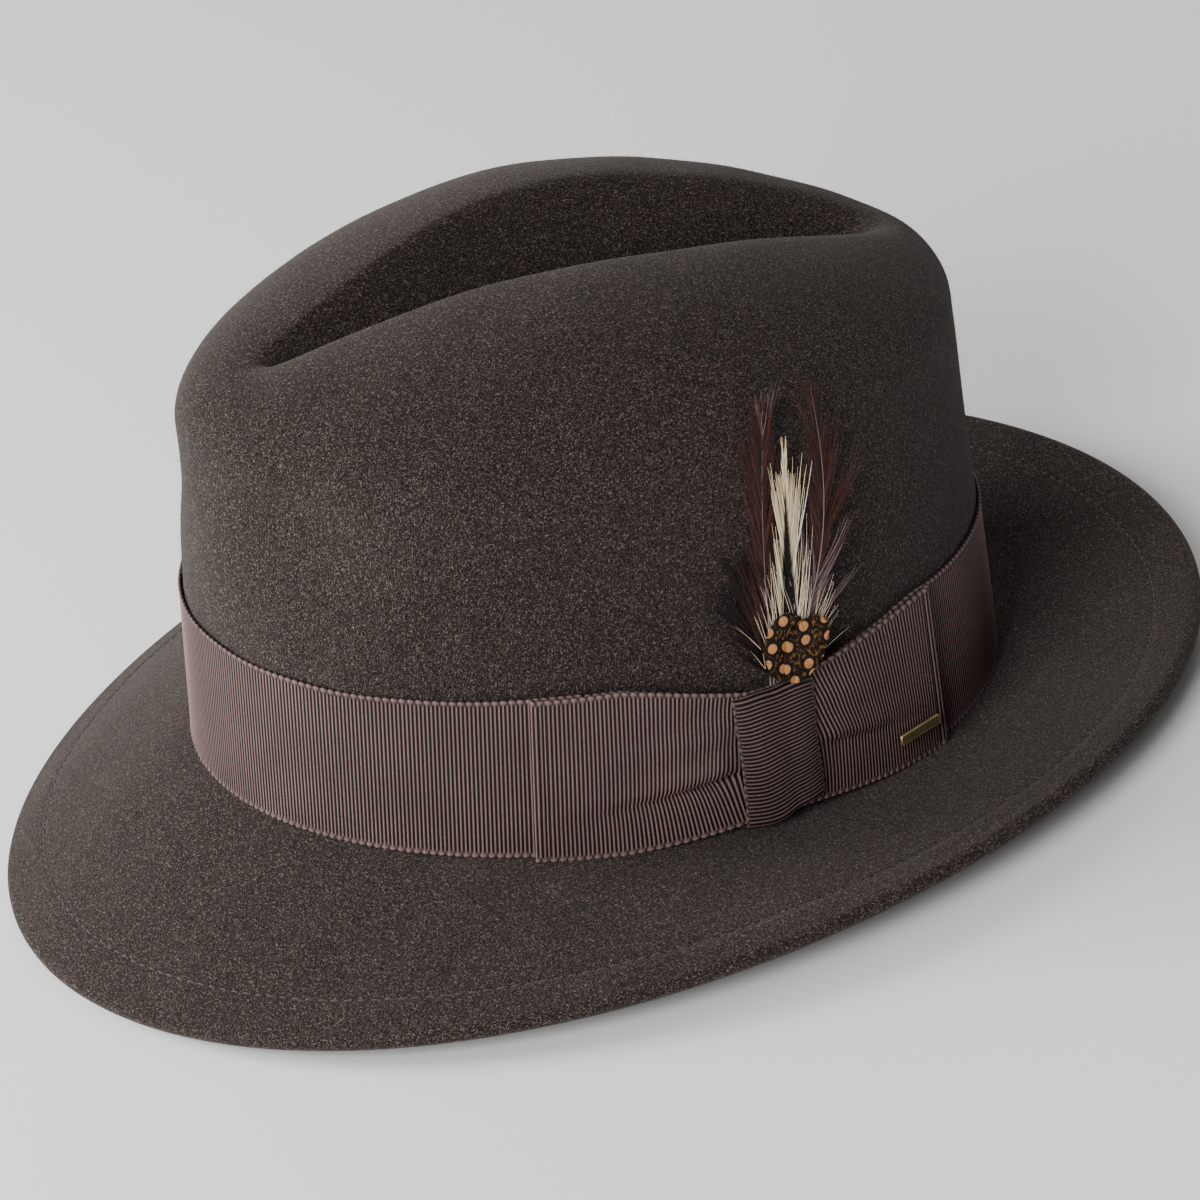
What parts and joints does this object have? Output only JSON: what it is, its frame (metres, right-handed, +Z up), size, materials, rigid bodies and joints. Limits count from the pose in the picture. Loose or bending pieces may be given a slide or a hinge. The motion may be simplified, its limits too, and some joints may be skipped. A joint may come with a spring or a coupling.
{
  "type": "fedora hat",
  "caption": "Dark brown felt fedora with a centre-dent crown, snap brim, grosgrain band, flat side bow, bar pin and feather spray; lined, with a leather sweatband.",
  "frame": {"origin": "centre of the hat's box in plan, on the surface that the brim lies on", "axes": "+Z up; the hat's front faces -Y; the wearer's left, with the bow and feathers, is +X"},
  "size_m": [0.2702, 0.3218, 0.1435],
  "materials": {
    "felt": "matt brushed wool felt, dark heather brown",
    "ribbon": "ribbed grosgrain, slight sheen",
    "thread": "twisted sewing thread",
    "brass": "polished, plain",
    "brown_feather": "dyed hackle feather, soft gloss",
    "cream_feather": "natural cream hackle feather",
    "spotted_feather": "mottled brown feather with orange dots",
    "quill": "keratin quills bound with thread",
    "leather": "smooth brown leather",
    "plastic": "flexible plastic reed",
    "satin": "satin lining",
    "clear": "clear plastic film"
  },
  "bodies": {
    "hat": {"felt_body": "felt", "welt_stitching_rear": "thread", "hat_band": "ribbon", "bow_ribbon": "ribbon", "bow_knot": "ribbon", "bar_pin": "brass", "sweatband": "leather", "sweatband_reed": "plastic", "sweatband_stitching": "thread", "sweatband_bow": "ribbon", "size_label": "leather", "lining_wall": "satin", "lining_piping": "satin", "lining_tip": "satin", "tip_protector": "clear"},
    "brim_front": {"front_brim": "felt", "welt_stitching_front": "thread"},
    "feather_spray": {"dark_feather": "brown_feather", "brown_feather_front": "brown_feather", "brown_feather_rear": "brown_feather", "cream_feather": "cream_feather", "spotted_feather_left": "spotted_feather", "spotted_feather_right": "spotted_feather", "feather_quills": "quill"}
  },
  "joints": [
    {"name": "brim_snap", "type": "hinge", "parent": "hat", "child": "brim_front", "pos_m": [0.0002, -0.10758, 0.03229], "axis": [-0.999, 0, 0.0436], "range_deg": [0, 30]},
    {"name": "spray_slide", "type": "slide", "parent": "hat", "child": "feather_spray", "axis": [-0.0961, 0.124, 0.9876], "range_m": [0, 0.06]}
  ]
}
